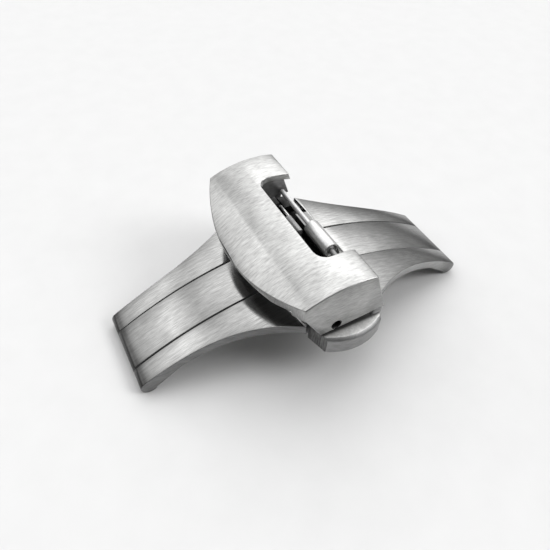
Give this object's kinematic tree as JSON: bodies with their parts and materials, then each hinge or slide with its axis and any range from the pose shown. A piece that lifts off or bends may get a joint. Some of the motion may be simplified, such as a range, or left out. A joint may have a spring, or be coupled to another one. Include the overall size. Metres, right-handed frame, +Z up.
{
  "type": "deployant clasp",
  "caption": "Curved steel deployant clasp for a wrist strap: hinged wings on an arched spine, a domed cover with an open notch, and side pushers.",
  "frame": {"origin": "on the table under the middle of the closed arch, which stands on the rounded ends of its wings", "axes": "+X along the clasp toward the notched side of the cover, +Y across the strap toward the far pusher, +Z up, away from the wrist"},
  "size_m": [0.0462, 0.0272, 0.0149],
  "materials": {
    "brushed_plate": "satin, finely brushed stainless steel",
    "pin_steel": "smooth drawn stainless wire",
    "spring_wire": "drawn spring wire"
  },
  "bodies": {
    "frame": {"base_frame": "brushed_plate", "left_hinge_pin": "pin_steel", "right_hinge_pin": "pin_steel", "near_pusher_pin": "pin_steel", "far_pusher_pin": "pin_steel", "near_pusher_spring": "spring_wire", "far_pusher_spring": "spring_wire"},
    "left_wing": {"left_wing": "brushed_plate"},
    "cover": {"cover": "brushed_plate", "cover_bar_sleeve": "pin_steel", "cover_bar_spring": "spring_wire"},
    "near_bar_tip": {"cover_bar_near_tip": "pin_steel"},
    "far_bar_tip": {"cover_bar_far_tip": "pin_steel"},
    "tang": {"tang": "brushed_plate"},
    "right_wing": {"right_wing": "brushed_plate", "strap_bar": "pin_steel"},
    "near_pusher": {"near_pusher": "brushed_plate"},
    "far_pusher": {"far_pusher": "brushed_plate"}
  },
  "joints": [
    {"name": "left_wing_hinge", "type": "hinge", "parent": "frame", "child": "left_wing", "pos_m": [-0.0221, 0, 0.001], "axis": [0, -1, 0], "range_deg": [0, 150]},
    {"name": "right_wing_hinge", "type": "hinge", "parent": "frame", "child": "right_wing", "pos_m": [0.0221, 0, 0.001], "axis": [0, 1, 0], "range_deg": [0, 150]},
    {"name": "cover_hinge", "type": "hinge", "parent": "left_wing", "child": "cover", "pos_m": [-0.00226, 0, 0.00893], "axis": [0, 1, 0], "range_deg": [-7, 8]},
    {"name": "tang_hinge", "type": "hinge", "parent": "left_wing", "child": "tang", "pos_m": [-0.00226, 0, 0.00893], "axis": [0, 1, 0], "range_deg": [0, 28]},
    {"name": "near_bar_tip_slide", "type": "slide", "parent": "cover", "child": "near_bar_tip", "axis": [0, 1, 0], "range_m": [0, 0.00095], "stiffness_N_per_m": 300, "springref_m": -0.0015},
    {"name": "far_bar_tip_slide", "type": "slide", "parent": "cover", "child": "far_bar_tip", "axis": [0, -1, 0], "range_m": [0, 0.00095], "stiffness_N_per_m": 300, "springref_m": -0.0015},
    {"name": "near_pusher_press", "type": "slide", "parent": "frame", "child": "near_pusher", "axis": [0, 1, 0], "range_m": [0, 0.00045], "stiffness_N_per_m": 600, "springref_m": -0.001},
    {"name": "far_pusher_press", "type": "slide", "parent": "frame", "child": "far_pusher", "axis": [0, -1, 0], "range_m": [0, 0.00045], "stiffness_N_per_m": 600, "springref_m": -0.001}
  ]
}
